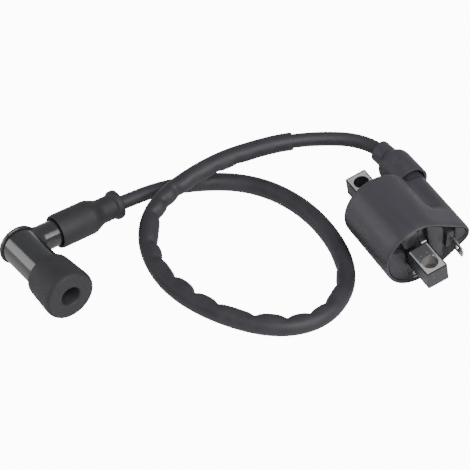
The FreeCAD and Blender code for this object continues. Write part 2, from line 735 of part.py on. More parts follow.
def socket_clip():
    """Wire snap ring in the socket's groove."""
    x0 = resistor_places()[2] + CLIP_AT
    ring_wire = Part.makeTorus(SOCKET_R - CLIP_WIRE_R, CLIP_WIRE_R, V(x0, 0, 0), V(1, 0, 0))
    notch = block(x0 - 1, x0 + 1, 0, SOCKET_R * 2, -1.2, 1.2)
    return in_place(ring_wire.cut(notch))


def build():
    """Every sub-part by its node name."""
    nodes = {
        "coil_housing": housing(),
        "core_laminations": laminations(),
        "primary_bobbin": primary_bobbin(),
        "primary_winding": primary_winding(),
        "secondary_bobbin": secondary_bobbin(),
        "secondary_winding": secondary_winding(),
        "potting_compound": potting(),
        "terminal_base": terminal_base().cut(blade(0.02)),
        "primary_terminal": blade(),
        "earth_strip": earth_strip(),
        "tower_contact": contact(),
        "tower_boot": tower_boot(),
        "cap_body": cap_body(),
        "cap_lead_arm": cap_lead_arm(),
        "cap_cover": cap_cover(),
        "cap_cable_boot": cable_boot(),
        "cap_plug_boot": plug_boot(),
        "cable_screw": cable_screw(),
        "contact_plate": contact_plate(),
        "barrel_spring": barrel_spring(),
        "resistor": resistor(),
        "resistor_caps": resistor_caps(),
        "plug_socket": plug_socket(),
        "socket_clip": socket_clip(),
    }
    for name, points in wire_routes().items():
        nodes[name] = bent_wire(points, WIRE_R)
    nodes.update(lead_parts())
    return nodes


def main():
    os.makedirs("parts", exist_ok=True)
    for name, shape in build().items():
        box = shape.BoundBox
        print(f"{name:20s} solids {len(shape.Solids):2d} valid {shape.isValid()} "
              f"volume {shape.Volume:9.1f}  x {box.XMin:.1f} {box.XMax:.1f}"
              f"  y {box.YMin:.1f} {box.YMax:.1f}  z {box.ZMin:.2f} {box.ZMax:.2f}")
        shape.exportStep(f"parts/{name}.step")


main()
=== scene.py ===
"""Ignition coil with its high-tension lead and spark-plug cap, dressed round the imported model.

The frame is the model's own: X along the core towards the terminal, Y from the can to the
tower, Z up. Sizes of pieces are in millimetres, and become metres where a mesh is made.
"""
import bmesh
import bpy
import math
import numpy as np
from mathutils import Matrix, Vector


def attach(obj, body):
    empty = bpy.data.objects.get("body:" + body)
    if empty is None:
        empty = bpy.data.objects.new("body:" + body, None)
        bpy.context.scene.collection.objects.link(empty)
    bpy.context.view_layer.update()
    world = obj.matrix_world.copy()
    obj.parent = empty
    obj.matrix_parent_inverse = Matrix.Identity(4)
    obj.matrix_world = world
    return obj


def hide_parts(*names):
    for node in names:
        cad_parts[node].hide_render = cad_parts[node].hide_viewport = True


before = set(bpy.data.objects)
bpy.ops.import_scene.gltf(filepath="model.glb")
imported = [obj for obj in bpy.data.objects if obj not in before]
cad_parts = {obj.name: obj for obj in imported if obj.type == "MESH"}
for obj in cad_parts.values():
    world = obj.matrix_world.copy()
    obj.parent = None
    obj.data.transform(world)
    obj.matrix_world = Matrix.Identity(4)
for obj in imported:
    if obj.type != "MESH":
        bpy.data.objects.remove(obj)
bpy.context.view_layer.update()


# ---------------------------------------------------------------- laminated core
# Stamped silicon-steel plates, half a millimetre thick, stacked and dipped in varnish. The top
# of each ear is wiped back to bare metal where the bolt seats; the edges of the plates stay
# dark and show as fine lines. The resin that was poured round the bar smears the near ear.

MM = 0.001
CAN_CENTRE = (0.0, -5.1, 17.5)
CORE_TILT = math.radians(10.6)
CORE_LENGTH = 72.0
CORE_WIDTH = 11.0
CORE_CORNER = 0.6
HOLE_SPACING = 60.0
HOLE_R = 3.75
PLATE_PITCH = 0.5
PLATES = 19
PLATE_THICK = 0.46
WELD = 0.001                # points nearer than this become one


def linear(code):
    """A colour from its sRGB hex code, as linear red, green, blue and alpha."""
    values = [int(code[i:i + 2], 16) / 255 for i in (0, 2, 4)]
    values = [v / 12.92 if v <= 0.04045 else ((v + 0.055) / 1.055) ** 2.4 for v in values]
    return tuple(values) + (1.0,)


def node(tree, kind, inputs=None, **settings):
    """A node with its settings; inputs holds values, and outputs of other nodes to link."""
    new = tree.nodes.new(kind)
    for name, value in settings.items():
        setattr(new, name, value)
    for socket, value in (inputs or {}).items():
        if isinstance(value, bpy.types.NodeSocket):
            tree.links.new(value, new.inputs[socket])
        else:
            new.inputs[socket].default_value = value
    return new


def start_material(name):
    """A new material with an empty node tree."""
    material = bpy.data.materials.new(name)
    material.use_nodes = True
    material.node_tree.nodes.clear()
    return material, material.node_tree


def ramp(tree, factor, stops):
    """A colour ramp; stops are (position, colour code) or (position, grey value)."""
    new = node(tree, "ShaderNodeValToRGB", {0: factor})
    while len(new.color_ramp.elements) < len(stops):
        new.color_ramp.elements.new(0.5)
    for element, (position, value) in zip(new.color_ramp.elements, stops):
        element.position = position
        element.color = linear(value) if isinstance(value, str) else (value, value, value, 1.0)
    return new.outputs[0]


def surface_output(tree, height, bump_mm, inputs):
    """The principled shader, with a bump of a real height, joined to the material's output."""
    bump = node(tree, "ShaderNodeBump", {
        "Height": height, "Distance": bump_mm * MM, "Strength": 1.0,
    })
    shader = node(tree, "ShaderNodeBsdfPrincipled", {"Normal": bump.outputs[0], **inputs})
    node(tree, "ShaderNodeOutputMaterial", {"Surface": shader.outputs[0]})


def object_place(tree):
    return node(tree, "ShaderNodeTexCoord").outputs["Object"]


def stretched(tree, vector, scale):
    return node(tree, "ShaderNodeMapping", {"Vector": vector, "Scale": scale}).outputs[0]


def noise(tree, vector, scale, detail, **more):
    """A noise pattern; more holds its other inputs."""
    return node(tree, "ShaderNodeTexNoise", {
        "Vector": vector, "Scale": scale, "Detail": detail, **more,
    }).outputs[0]


def maths(tree, operation, first, second=0.0):
    return node(tree, "ShaderNodeMath", {0: first, 1: second}, operation=operation).outputs[0]


def fade(tree, value, start, end, low=0.0, high=1.0):
    """A value that runs from low to high while another runs from start to end."""
    return node(tree, "ShaderNodeMapRange", {
        "Value": value, "From Min": start, "From Max": end, "To Min": low, "To Max": high,
    }).outputs[0]


def mixed(tree, share, first, second):
    return node(tree, "ShaderNodeMixRGB", {0: share, 1: first, 2: second}).outputs[0]


# Varnished electrical steel: dark grey film on the plates' edges, brushed bare metal on top with
# a black line left round it, a warm grey wall in the punched holes, darkened by painted shade
# lower down and all through the far hole.
TOP_PLATE = 4.69            # heights above this are the topmost plate
BARE_HALF_LENGTH = 35.3
BARE_HALF_WIDTH = 4.85
RESIN_EDGE = 19.6           # the bare metal starts here, from the core's middle
HOLE_WALL_R = 3.82
BARE_METALLIC = 0.55

core_steel, tree = start_material("varnished_electrical_steel")
local = node(tree, "ShaderNodeMapping", {
    "Vector": object_place(tree), "Location": [-v * MM for v in CAN_CENTRE],
}, vector_type="POINT").outputs[0]
core_place = node(tree, "ShaderNodeMapping", {
    "Vector": local, "Rotation": (-CORE_TILT, 0, 0), "Scale": (1 / MM, 1 / MM, 1 / MM),
}).outputs[0]
axes = node(tree, "ShaderNodeSeparateXYZ", {0: core_place}).outputs
from_end = maths(tree, "ABSOLUTE", axes["X"])
from_side = maths(tree, "ABSOLUTE", axes["Y"])
near_only = maths(tree, "GREATER_THAN", axes["X"])

# The bare top, inside its black line and outside the resin.
top = maths(tree, "GREATER_THAN", maths(tree, "ABSOLUTE", axes["Z"]), TOP_PLATE)
inside = maths(tree, "MULTIPLY", maths(tree, "LESS_THAN", from_end, BARE_HALF_LENGTH),
               maths(tree, "LESS_THAN", from_side, BARE_HALF_WIDTH))
inside = maths(tree, "MULTIPLY", inside, maths(tree, "GREATER_THAN", from_end, RESIN_EDGE))
bare = maths(tree, "MULTIPLY", top, inside)
black_line = maths(tree, "MULTIPLY", top, maths(tree, "SUBTRACT", 1.0, inside))
brushing = noise(tree, stretched(tree, core_place, (0.5, 6.0, 1.0)), 1.0, 5.0)
bright = ramp(tree, brushing, [(0.3, "a4a4a6"), (0.7, "cdcdd0")])

# Resin smeared over the inner part of the near ear, thinning out towards its end and sides.
smear = maths(tree, "ADD", noise(tree, core_place, 0.9, 6.0, Roughness=0.65),
              fade(tree, axes["X"], 22.0, 34.0, 0.30, -0.12))
smear = maths(tree, "MULTIPLY", ramp(tree, smear, [(0.52, 0.0), (0.60, 0.9)]),
              fade(tree, from_side, 4.6, 4.0))
smear = maths(tree, "MULTIPLY", smear, near_only)
smeared = mixed(tree, smear, bright, linear("232325"))
clean = maths(tree, "MULTIPLY", bare, maths(tree, "SUBTRACT", 1.0, smear))

# Varnish film on the edges, and the holes' walls: pale in the near ear, with painted shade making
# them dark lower down and in the far ear.
film = noise(tree, core_place, 0.7, 5.0, Roughness=0.6)
varnish = ramp(tree, film, [(0.3, "232326"), (0.55, "2f2f33"), (0.75, "424247")])
along = maths(tree, "SUBTRACT", from_end, HOLE_SPACING / 2)
from_hole = maths(tree, "ADD", maths(tree, "MULTIPLY", along, along),
                  maths(tree, "MULTIPLY", from_side, from_side))
in_hole = maths(tree, "LESS_THAN", from_hole, HOLE_WALL_R ** 2)
# Painted shade: the hole walls go near black below the middle of the stack, and all round in the
# far ear.
wall_clear_of_painted_shade = maths(tree, "MULTIPLY", fade(tree, axes["Z"], -1.6, -0.7), near_only)
hole_wall_with_painted_shade = mixed(tree, wall_clear_of_painted_shade, linear("1f1f21"), ramp(tree, film, [(0.3, "5d5957"), (0.7, "7b7673")]))
sides = mixed(tree, black_line, mixed(tree, in_hole, varnish, hole_wall_with_painted_shade), linear("0d0d0e"))
surface_output(tree, brushing, 0.04, {
    "Base Color": mixed(tree, bare, sides, smeared),
    "Metallic": maths(tree, "MULTIPLY", clean, BARE_METALLIC),
    "Roughness": ramp(tree, clean, [(0.0, 0.42), (1.0, 0.48)]),
})

# The stack itself: one plate filled from its outline and holes, thickened, and repeated upwards.
stack_tree = bpy.data.node_groups.new("plate_stack", "GeometryNodeTree")
stack_tree.interface.new_socket("Geometry", in_out="OUTPUT", socket_type="NodeSocketGeometry")
for name, value in (
    ("Length", CORE_LENGTH), ("Width", CORE_WIDTH), ("Hole spacing", HOLE_SPACING),
    ("Hole radius", HOLE_R), ("Plate thickness", PLATE_THICK), ("Plate pitch", PLATE_PITCH),
):
    socket = stack_tree.interface.new_socket(name, in_out="INPUT", socket_type="NodeSocketFloat")
    socket.default_value = value * MM
inputs = node(stack_tree, "NodeGroupInput").outputs
oblong = node(stack_tree, "GeometryNodeCurvePrimitiveQuadrilateral", {
    "Width": inputs["Length"], "Height": inputs["Width"],
})
rounded = node(stack_tree, "GeometryNodeFilletCurve", {
    "Curve": oblong.outputs[0], "Radius": CORE_CORNER * MM, "Count": 4,
}, mode="POLY")
hole = node(stack_tree, "GeometryNodeCurvePrimitiveCircle", {
    "Resolution": 48, "Radius": inputs["Hole radius"],
}).outputs[0]
curves = node(stack_tree, "GeometryNodeJoinGeometry", {"Geometry": rounded.outputs[0]})
for side in (0.5, -0.5):
    vector = node(stack_tree, "ShaderNodeCombineXYZ", {
        "X": maths(stack_tree, "MULTIPLY", inputs["Hole spacing"], side),
    })
    moved = node(stack_tree, "GeometryNodeTransform", {
        "Geometry": hole, "Translation": vector.outputs[0],
    })
    stack_tree.links.new(moved.outputs[0], curves.inputs[0])
plate = node(stack_tree, "GeometryNodeFillCurve", {"Curve": curves.outputs[0]}, mode="NGONS")
lift = node(stack_tree, "GeometryNodeExtrudeMesh", {
    "Mesh": plate.outputs[0], "Offset Scale": inputs["Plate thickness"], "Individual": False,
}, mode="FACES")
under = node(stack_tree, "GeometryNodeFlipFaces", {"Mesh": plate.outputs[0]})
solid = node(stack_tree, "GeometryNodeJoinGeometry", {"Geometry": lift.outputs["Mesh"]})
stack_tree.links.new(under.outputs[0], solid.inputs[0])
merged = node(stack_tree, "GeometryNodeMergeByDistance", {
    "Geometry": solid.outputs[0], "Distance": WELD * MM,
})
step = node(stack_tree, "ShaderNodeCombineXYZ", {"Z": inputs["Plate pitch"]})
places = node(stack_tree, "GeometryNodeMeshLine", {
    "Count": PLATES, "Start Location": (0, 0, -PLATES * PLATE_PITCH / 2 * MM),
    "Offset": step.outputs[0],
})
plates = node(stack_tree, "GeometryNodeInstanceOnPoints", {
    "Points": places.outputs[0], "Instance": merged.outputs[0],
})
real = node(stack_tree, "GeometryNodeRealizeInstances", {"Geometry": plates.outputs[0]})
coated = node(stack_tree, "GeometryNodeSetMaterial", {
    "Geometry": real.outputs[0], "Material": core_steel,
})
node(stack_tree, "NodeGroupOutput", {"Geometry": coated.outputs[0]})


def made_by(tree_group, name, centre=(0, 0, 0), turn=0.0):
    """The plain mesh object that a geometry tree makes, turned about X and moved into place."""
    carrier = bpy.data.objects.new(name + "_carrier", bpy.data.meshes.new(name + "_carrier"))
    bpy.context.collection.objects.link(carrier)
    modifier = carrier.modifiers.new("build", "NODES")
    modifier.node_group = tree_group
    evaluated = carrier.evaluated_get(bpy.context.evaluated_depsgraph_get())
    mesh = bpy.data.meshes.new_from_object(evaluated)
    bpy.data.objects.remove(carrier)
    mesh.name = name
    cos, sin = math.cos(turn), math.sin(turn)
    for vertex in mesh.vertices:
        x, y, z = vertex.co
        vertex.co = (x + centre[0] * MM, y * cos - z * sin + centre[1] * MM,
                     y * sin + z * cos + centre[2] * MM)
    made = bpy.data.objects.new(name, mesh)
    bpy.context.collection.objects.link(made)
    return made


stack = made_by(stack_tree, "lamination_stack", CAN_CENTRE, CORE_TILT)
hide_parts("core_laminations")
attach(stack, "coil")


# ---------------------------------------------------------------- windings and cast-in pieces
# Enamelled copper on two moulded bobbins, drowned in resin, and the brass, steel and ceramic
# pieces inside the cap. Only the end of the earth strip shows outside, so each piece keeps its
# modelled shape and takes its finish.

def dress(material, *names):
    """Give modelled nodes a material."""
    for name in names:
        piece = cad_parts[name]
        piece.data.materials.clear()
        piece.data.materials.append(material)


def plain_finish(name, dark, light, grain_mm, metallic, roughness, bump_mm, stretch=(1, 1, 1)):
    """A finish of one base colour that drifts a little with a grain of a real size."""
    material, tree = start_material(name)
    drift = 0.08
    grain = noise(tree, stretched(tree, object_place(tree), stretch), 1 / (grain_mm * MM), 5.0,
                  Roughness=0.6)
    surface_output(tree, grain, bump_mm, {
        "Base Color": ramp(tree, grain, [(0.3, dark), (0.7, light)]), "Metallic": metallic,
        "Roughness": ramp(tree, grain, [(0.25, roughness - drift), (0.75, roughness + drift)]),
    })
    return material


enamelled_copper = plain_finish("enamelled_copper", "7c3a1c", "b0602f", 0.25, 1.0, 0.35, 0.03,
                                (8, 1, 1))
glass_filled_pbt = plain_finish("glass_filled_polyester", "b3a98c", "c9c0a6", 0.8, 0.0, 0.55,
                                0.02)
turned_brass = plain_finish("turned_brass", "a97c35", "cda158", 0.3, 1.0, 0.32, 0.01, (6, 1, 1))
spring_wire = plain_finish("drawn_spring_steel", "7d7d80", "a5a5a8", 0.3, 1.0, 0.3, 0.01)
glazed_ceramic = plain_finish("glazed_ceramic", "d6cdbb", "e6dfd0", 1.2, 0.0, 0.25, 0.005)
tinned_steel = plain_finish("tinned_steel", "b9b9b8", "e0e0df", 0.5, 1.0, 0.3, 0.012, (1, 4, 4))
dress(enamelled_copper, "primary_winding", "secondary_winding", "ht_wire", "primary_start_wire",
      "primary_earth_wire", "lead_strand")
dress(glass_filled_pbt, "primary_bobbin", "secondary_bobbin")
dress(turned_brass, "tower_contact", "cable_screw", "contact_plate", "plug_socket")
dress(spring_wire, "barrel_spring", "socket_clip")
dress(glazed_ceramic, "resistor")
dress(tinned_steel, "resistor_caps")

# The earth strip is dull with resin up to its end, which was wiped bright.
WIPED_FROM = 18.3

smeared_tin, tree = start_material("resin_smeared_tin")
place = object_place(tree)
reach = node(tree, "ShaderNodeSeparateXYZ", {0: place}).outputs["X"]
wiped = maths(tree, "GREATER_THAN", reach, WIPED_FROM * MM)
blotch = noise(tree, place, 900.0, 4.0)
dull = ramp(tree, blotch, [(0.3, "1c1c1e"), (0.7, "39393c")])
surface_output(tree, blotch, 0.03, {
    "Base Color": mixed(tree, wiped, dull, linear("e4e4e6")),
    "Roughness": ramp(tree, blotch, [(0.3, 0.36), (0.7, 0.5)]),
})
dress(smeared_tin, "earth_strip")


# ---------------------------------------------------------------- housing
# One moulding of black glass-filled nylon: a round can with the tower along its side. A soft
# valley divides them at the closed end and fills out to flat flanks towards the open end, which
# has a thin stepped rim. The skin is satin, with the faint drag marks of a used mould.

CAN_R = 17.5
TOWER_R = 6.3
TOWER_AT = (21.4, 1.6)
FAR_FACE = -19.5
RIM_X = 20.0
FAR_EDGE = 2.6
VALLEY_BLEND = 5.0
VALLEY_ENDS = (1.4, 9.6)    # the valley fills out to flat flanks between these
BORE_INSET = 1.62           # from the outline to the wall of the open end
CAN_BORE_R = 15.7
OUTLINE_POINTS = 224
OUTLINE_FROM = (12.0, 0.0)  # the outline is traced outwards from here, this far
OUTLINE_REACH = 40.0
TOWER_LENGTH = math.hypot(*TOWER_AT)
TOWER_LEAN = math.atan2(TOWER_AT[1], TOWER_AT[0])


def soft_least(a, b, reach):
    """The lesser of two fields, rounded where they meet."""
    mix = np.clip(0.5 + 0.5 * (b - a) / reach, 0, 1)
    return b + (a - b) * mix - reach * mix * (1 - mix)


def can_outline(u, v, filled):
    """Distance outside the section; u runs from the can to the tower, v across."""
    can = np.hypot(u, v) - CAN_R
    tower = np.hypot(u - TOWER_LENGTH, v) - TOWER_R
    slope = (CAN_R - TOWER_R) / TOWER_LENGTH
    level = math.sqrt(1 - slope ** 2)
    place_along = level * u - slope * np.abs(v)
    flank = level * np.abs(v) + slope * u - CAN_R
    beyond = place_along > level * TOWER_LENGTH
    hull = np.where(place_along < 0, can, np.where(beyond, tower, flank))
    return soft_least(can, tower, VALLEY_BLEND) * (1 - filled) + hull * filled


def traced(field, centre=OUTLINE_FROM, reach=OUTLINE_REACH, count=OUTLINE_POINTS):
    """Points round a star-shaped section, where its field is zero, as (y, z) about the can."""
    angles = np.linspace(0, 2 * math.pi, count, endpoint=False)
    low = np.zeros(count)
    high = np.full(count, reach)
    for _ in range(30):
        middle = (low + high) / 2
        at_u = centre[0] + middle * np.cos(angles)
        at_v = centre[1] + middle * np.sin(angles)
        outside = field(at_u, at_v) > 0
        high = np.where(outside, middle, high)
        low = np.where(outside, low, middle)
    u = centre[0] + low * np.cos(angles)
    v = centre[1] + low * np.sin(angles)
    cos, sin = math.cos(TOWER_LEAN), math.sin(TOWER_LEAN)
    return np.stack([u * cos - v * sin, u * sin + v * cos], axis=1)


def section(x, points):
    """A ring of the housing at x, in millimetres."""
    return [(x, CAN_CENTRE[1] + y, CAN_CENTRE[2] + z) for y, z in points]


def can_ring(x, filled, inset=0.0):
    """The ring of the housing's outline at x, drawn in by an inset."""
    return section(x, traced(lambda u, v: can_outline(u, v, filled) + inset))


def smooth_step(value, start, end):
    """A share from 0 at the start to 1 at the end, level at both."""
    share = min(max((value - start) / (end - start), 0.0), 1.0)
    return share * share * (3 - 2 * share)


def skin(name, rings, material, closed=False):
    """A mesh object from rings of points in millimetres; closed joins the last to the first."""
    count = len(rings[0])
    sheet = bmesh.new()
    rows = [[sheet.verts.new([c * MM for c in point]) for point in ring] for ring in rings]
    pairs = list(zip(rows, rows[1:])) + ([(rows[-1], rows[0])] if closed else [])
    for one, two in pairs:
        for i in range(count):
            j = (i + 1) % count
            sheet.faces.new((one[i], one[j], two[j], two[i]))
    if not closed:
        sheet.faces.new(rows[0])
        sheet.faces.new(rows[-1])
    return finished(name, sheet, material)


def finished(name, sheet, material, sharp_deg=38.0):
    """Turn a bmesh's faces outwards, shade it smooth between its sharp edges, and keep it."""
    bmesh.ops.remove_doubles(sheet, verts=sheet.verts, dist=2 * WELD * MM)
    bmesh.ops.recalc_face_normals(sheet, faces=sheet.faces)
    sharp = math.radians(sharp_deg)
    for edge in sheet.edges:
        edge.smooth = len(edge.link_faces) == 2 and edge.calc_face_angle(0) < sharp
    for face in sheet.faces:
        face.smooth = True
    mesh = bpy.data.meshes.new(name)
    sheet.to_mesh(mesh)
    sheet.free()
    mesh.materials.append(material)
    made = bpy.data.objects.new(name, mesh)
    bpy.context.collection.objects.link(made)
    return made


# Glass-filled nylon off a spark-eroded mould: near black, satin, a fine even grain with long
# soft streaks along the draw and a few pale scuffs.
black_nylon, tree = start_material("moulded_black_nylon")
place = object_place(tree)
grain = noise(tree, place, 2200.0, 3.0)
streak = noise(tree, stretched(tree, place, (18, 160, 160)), 1.0, 6.0, Roughness=0.6)
scuff = noise(tree, stretched(tree, place, (90, 700, 500)), 1.0, 4.0, Distortion=1.2)
sound = ramp(tree, streak, [(0.3, "2c2b31"), (0.7, "35343b")])
worn = mixed(tree, ramp(tree, scuff, [(0.70, 0.0), (0.82, 0.35)]), sound, linear("5a5a5e"))
surface_output(tree, mixed(tree, 0.35, grain, streak), 0.05, {
    "Base Color": worn, "IOR": 1.53,
    "Roughness": ramp(tree, streak, [(0.3, 0.44), (0.7, 0.54)]),
})

# The rounded far edge, the valley, the part where it fills out, and the full outline.
EDGE_STEPS = 8
rings = []
for index in range(EDGE_STEPS + 1):
    angle = math.pi / 2 * index / EDGE_STEPS
    x = FAR_FACE + FAR_EDGE * (1 - math.cos(angle))
    rings.append(can_ring(x, 0.0, FAR_EDGE * (1 - math.sin(angle))))
rings += [can_ring(x, 0.0) for x in np.linspace(FAR_FACE + FAR_EDGE + 1, 1.0, 8)]
rings += [can_ring(x, smooth_step(x, *VALLEY_ENDS)) for x in np.linspace(1.6, 9.4, 14)]
rings += [can_ring(x, 1.0) for x in (12.0, 16.0, RIM_X - 1.6)]
# Over the rim, with its thin lip and step, and down the wall of the open end.
for back, inset in (
    (1.45, 0.06), (0.4, 0.1), (0.15, 0.22), (0.0, 0.5), (0.0, 0.8), (0.1, 0.95), (0.55, 1.0),
    (0.6, 1.15), (0.62, 1.4), (0.75, 1.5), (2.0, 1.55), (11.0, 1.6),
):
    rings.append(can_ring(RIM_X - back, 1.0, inset))
# The round bore behind it, which holds the windings.
for x in (8.9, -17.1):
    rings.append(section(x, traced(lambda u, v: np.hypot(u, v) - CAN_BORE_R)))
can = skin("can_moulding", rings, black_nylon)

# The tower beyond the can's far face, with the barb that holds the boot on and the lead's bore.
ROUND = 64


def spun(profile, count=ROUND):
    """Rings about X for an outline of (along, radius) points."""
    angles = [2 * math.pi * i / count for i in range(count)]
    return [[(x, r * math.cos(a), r * math.sin(a)) for a in angles] for x, r in profile]


def shifted(rings, by):
    """Rings moved by a vector."""
    return [[(x + by[0], y + by[1], z + by[2]) for x, y, z in ring] for ring in rings]


TOWER_CENTRE = (0.0, CAN_CENTRE[1] + TOWER_AT[0], CAN_CENTRE[2] + TOWER_AT[1])
tower = skin("tower_moulding", shifted(spun([
    (-18.2, 3.6), (-18.2, 6.3), (-29.0, 6.3), (-30.5, 6.8), (-31.5, 6.8), (-33.0, 6.3),
    (-33.7, 6.1), (-34.0, 5.7), (-34.0, 3.9), (-33.7, 3.6),
]), TOWER_CENTRE), black_nylon, closed=True)
for piece in (can, tower):
    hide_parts("coil_housing")
    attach(piece, "coil")


# ---------------------------------------------------------------- potting and what shows in it
# Filled epoxy poured into the open end, drawn up the walls in a glossy meniscus as it set. Three
# flat end plates of the winding form stand proud of it, with a well between them where the
# round end of the form shows, coloured darker as painted shade.

RESIN_X = 16.6
MENISCUS_X = 19.3

# Mineral-filled black epoxy: a skin like hard wax, glossy with shallow dimples and tiny pores.
poured_epoxy, tree = start_material("poured_black_epoxy")
place = object_place(tree)
ripple = noise(tree, place, 330.0, 3.0)
pores = node(tree, "ShaderNodeTexVoronoi", {"Vector": place, "Scale": 900.0}).outputs[0]
pitted = maths(tree, "MULTIPLY", ripple, ramp(tree, pores, [(0.02, 0.0), (0.12, 1.0)]))
surface_output(tree, pitted, 0.08, {
    "Base Color": ramp(tree, ripple, [(0.3, "1e1e20"), (0.7, "2c2c2f")]), "IOR": 1.55,
    "Roughness": ramp(tree, ripple, [(0.3, 0.1), (0.7, 0.2)]),
})

resin = skin("potting", [can_ring(x, 1.0, inset) for x, inset in (
    (9.4, BORE_INSET), (MENISCUS_X, BORE_INSET), (19.05, 1.7), (18.75, 1.95), (18.5, 2.3),
    (18.3, 2.75), (17.6, 3.3), (16.9, 3.9), (RESIN_X, 4.8),
)], poured_epoxy)
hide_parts("potting_compound")
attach(resin, "coil")

# The winding form is a blacker plastic than the housing, moulded matt.
form_plastic = plain_finish("winding_form_plastic", "222127", "2c2b31", 0.6, 0.0, 0.52, 0.02)
# Painted shade: a darker copy of the form's plastic, for its end down in the well.
form_plastic_in_painted_shade = plain_finish("winding_form_end_painted_shade", "141316", "1e1d21", 0.6, 0.0, 0.45, 0.02)


def half_plane(point, angle_deg):
    """Field that is positive on the left of a line through a (y, z) point about the can."""
    angle = math.radians(angle_deg) - TOWER_LEAN
    cos, sin = math.cos(TOWER_LEAN), math.sin(TOWER_LEAN)
    u0, v0 = point[0] * cos + point[1] * sin, -point[0] * sin + point[1] * cos
    return lambda u, v: -(u - u0) * math.sin(angle) + (v - v0) * math.cos(angle)


# The height of a plate's face, and its rounding as (distance below the face, inset).
PLATE_X = 19.3
PLATE_EDGE = ((0.5, 0.0), (0.2, 0.08), (0.0, 0.35))
PLATE_INSET = 1.72
PLATE_DEPTH = 10.0
PLATE_CORNER = 1.4


def end_plate(name, centre, lines, inset=PLATE_INSET, face=PLATE_X, edge=PLATE_EDGE,
              material=form_plastic):
    """A plate inside the rim, cut by lines and rounded round its face."""
    cos, sin = math.cos(TOWER_LEAN), math.sin(TOWER_LEAN)
    middle = (centre[0] * cos + centre[1] * sin, -centre[0] * sin + centre[1] * cos)

    def field(u, v):
        value = can_outline(u, v, 1.0) + inset
        for line in lines:
            value = -soft_least(-value, -line(u, v), PLATE_CORNER)
        return value

    rings = []
    for back, shrink in ((face - PLATE_DEPTH, 0.0),) + edge:
        points = traced(lambda u, v: field(u, v) + shrink, middle, reach=30.0, count=120)
        rings.append(section(face - back, points))
    return skin(name, rings, material)


right_plate = end_plate("end_plate_right", (9.0, 6.0), [
    half_plane((1.1, 14.1), 110.5), half_plane((5.3, 4.0), 100.6), half_plane((13.2, 0.0), 275.0),
])
left_plate = end_plate("end_plate_left", (-10.0, -4.0), [
    half_plane((-13.3, 6.0), -20.4), half_plane((-6.6, 0.0), 280.6),
    half_plane((-8.0, -13.2), 168.7),
])
tower_plate = end_plate("end_plate_tower", (22.5, 2.6), [
    half_plane((20.1, 0.0), 95.0), half_plane((21.0, -2.5), 224.4),
])

# The rounded end of the winding form, seen in the well above the core, in a darker copy of its
# plastic that paints the shade.
form_end = end_plate("form_end", (-5.0, 9.5), [
    half_plane((-9.8, 10.6), 110.3), half_plane((-0.6, 9.0), 262.0),
    half_plane((0.0, 5.0), 190.6),
], 3.1, 18.9, ((2.2, 0.0), (1.2, 0.25), (0.5, 0.8), (0.15, 1.5), (0.0, 2.3)), form_plastic_in_painted_shade)
for piece in (right_plate, left_plate, tower_plate, form_end):
    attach(piece, "coil")


# ---------------------------------------------------------------- primary terminal
# A tinned spade, 5 mm wide and 0.8 mm thick, pressed into a moulded block and set on edge. Its
# sheared edges are slightly eased, and handling has tipped it down.

BLADE_Y = 13.3
BLADE_Z = 17.7
BLADE_ROOT = 14.0
BLADE_HALF = 2.5
BLADE_THICK = 0.8
BLADE_BEVEL = 0.14
ROOT_HALF = 2.1
TIP_AT = 27.1               # centre of the rounding of the tip's corners
TIP_R = 1.6
DETENT_AT = 24.2
DETENT_R = 0.9
DROOP_FROM = 18.0
DROOP = math.radians(6.0)
BASE_HALF_Y = 2.6
BASE_HALF_Z = 4.6


def cut_sheet(outline, holes, thick, bevel):
    """A flat sheet in X and Z with holes, given thickness along Y and eased edges."""
    square_edge = 1.2
    sheet = bmesh.new()
    edges = []
    for loop in [outline] + holes:
        verts = [sheet.verts.new((x * MM, 0, z * MM)) for x, z in loop]
        edges += [sheet.edges.new((a, b)) for a, b in zip(verts, verts[1:] + verts[:1])]
    bmesh.ops.triangle_fill(sheet, edges=edges, use_beauty=True)
    bmesh.ops.dissolve_limit(sheet, angle_limit=0.01, verts=sheet.verts, edges=sheet.edges)
    grown = bmesh.ops.extrude_face_region(sheet, geom=list(sheet.faces))["geom"]
    moved = [item for item in grown if isinstance(item, bmesh.types.BMVert)]
    bmesh.ops.translate(sheet, verts=moved, vec=(0, thick * MM, 0))
    bmesh.ops.translate(sheet, verts=sheet.verts, vec=(0, -thick * MM / 2, 0))
    bmesh.ops.recalc_face_normals(sheet, faces=sheet.faces)
    rims = [edge for edge in sheet.edges
            if len(edge.link_faces) == 2 and edge.calc_face_angle(0) > square_edge]
    bmesh.ops.bevel(sheet, geom=rims, offset=bevel * MM, segments=2, affect="EDGES", profile=0.5)
    return sheet


def bent_arc(centre, radius, start_deg, end_deg, steps):
    """Points on an arc in a plane."""
    angles = np.radians(np.linspace(start_deg, end_deg, steps))
    return [(centre[0] + radius * math.cos(a), centre[1] + radius * math.sin(a)) for a in angles]


tip_z = BLADE_HALF - TIP_R
blade_outline = [
    (BLADE_ROOT, -ROOT_HALF), (18.4, -ROOT_HALF), (19.0, -BLADE_HALF),
    *bent_arc((TIP_AT, -tip_z), TIP_R, -90, -20, 6), *bent_arc((TIP_AT, tip_z), TIP_R, 20, 90, 6),
    (19.0, BLADE_HALF), (18.4, ROOT_HALF), (BLADE_ROOT, ROOT_HALF),
]
detent = bent_arc((DETENT_AT, 0.0), DETENT_R, 0, 345, 24)
sheet = cut_sheet(blade_outline, [detent], BLADE_THICK, BLADE_BEVEL)
for vertex in sheet.verts:
    x, y, z = vertex.co
    reach = max(x - DROOP_FROM * MM, 0.0)
    vertex.co = (x, y + BLADE_Y * MM, z + BLADE_Z * MM - reach * math.tan(DROOP))
blade = finished("spade_terminal", sheet, tinned_steel, 30)
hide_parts("primary_terminal")
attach(blade, "coil")

